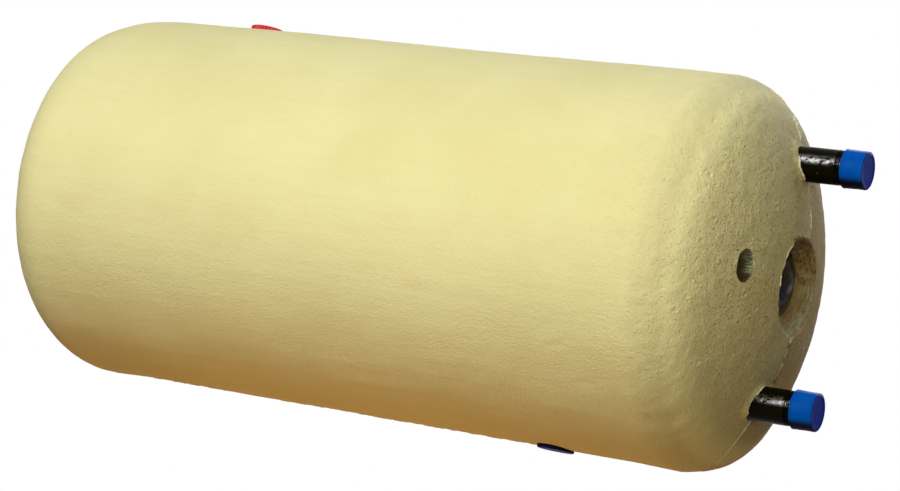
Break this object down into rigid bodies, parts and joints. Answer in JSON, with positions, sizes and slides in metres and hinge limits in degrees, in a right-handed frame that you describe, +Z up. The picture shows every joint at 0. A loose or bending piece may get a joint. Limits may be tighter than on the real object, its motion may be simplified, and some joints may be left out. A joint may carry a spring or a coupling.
{
  "type": "indirect water heater",
  "caption": "Lying foam-lagged hot water tank with a heating jacket, threaded water pipes on one end, capped heating ports and a central anode plug.",
  "frame": {"origin": "on the tank's axis at the middle of its length", "axes": "+X along the tank's axis towards the end with the water pipes, +Z up through the hot water pipe and the heating supply port, +Y away from the side with the sensor hole"},
  "size_m": [1.122, 0.48, 0.4914],
  "materials": {
    "lagging_foam": "matte",
    "tank_steel": "satin",
    "jacket_steel": "satin",
    "pipe_black": "gloss",
    "tube_steel": "satin",
    "pocket_brass": "satin",
    "gasket_rubber": "matte",
    "plug_steel": "gloss",
    "anode_metal": "matte",
    "cap_blue": "satin",
    "cap_red": "satin",
    "cap_navy": "satin"
  },
  "bodies": {
    "heater": {"tank_shell": "tank_steel", "tank_head_connection_end": "tank_steel", "tank_head_blind_end": "tank_steel", "jacket_shell": "jacket_steel", "jacket_ring_connection_end": "jacket_steel", "jacket_ring_blind_end": "jacket_steel", "insulation_front_half": "lagging_foam", "insulation_rear_half": "lagging_foam", "hot_water_stub": "pipe_black", "cold_water_stub": "pipe_black", "heating_supply_stub": "pipe_black", "heating_return_stub": "pipe_black", "hot_draw_off_tube": "tube_steel", "cold_inlet_tube": "tube_steel", "cold_tube_end_disc": "tube_steel", "sensor_socket": "tank_steel", "sensor_pocket": "pocket_brass", "anode_socket": "tank_steel"},
    "hot_cap": {"hot_water_cap": "cap_blue"},
    "cold_cap": {"cold_water_cap": "cap_blue"},
    "supply_cap": {"heating_supply_cap": "cap_red"},
    "return_cap": {"heating_return_cap": "cap_navy"},
    "anode": {"anode_plug": "plug_steel", "anode_gasket": "gasket_rubber", "anode_core": "tube_steel", "anode_rod": "anode_metal"}
  },
  "joints": [
    {"name": "hot_cap_pull", "type": "slide", "parent": "heater", "child": "hot_cap", "axis": [1, 0, 0], "range_m": [0, 0.1]},
    {"name": "cold_cap_pull", "type": "slide", "parent": "heater", "child": "cold_cap", "axis": [1, 0, 0], "range_m": [0, 0.1]},
    {"name": "supply_cap_pull", "type": "slide", "parent": "heater", "child": "supply_cap", "axis": [0, 0, 1], "range_m": [0, 0.1]},
    {"name": "return_cap_pull", "type": "slide", "parent": "heater", "child": "return_cap", "axis": [0, 0, -1], "range_m": [0, 0.1]},
    {"name": "anode_withdraw", "type": "slide", "parent": "heater", "child": "anode", "axis": [1, 0, 0], "range_m": [0, 0.52]}
  ]
}
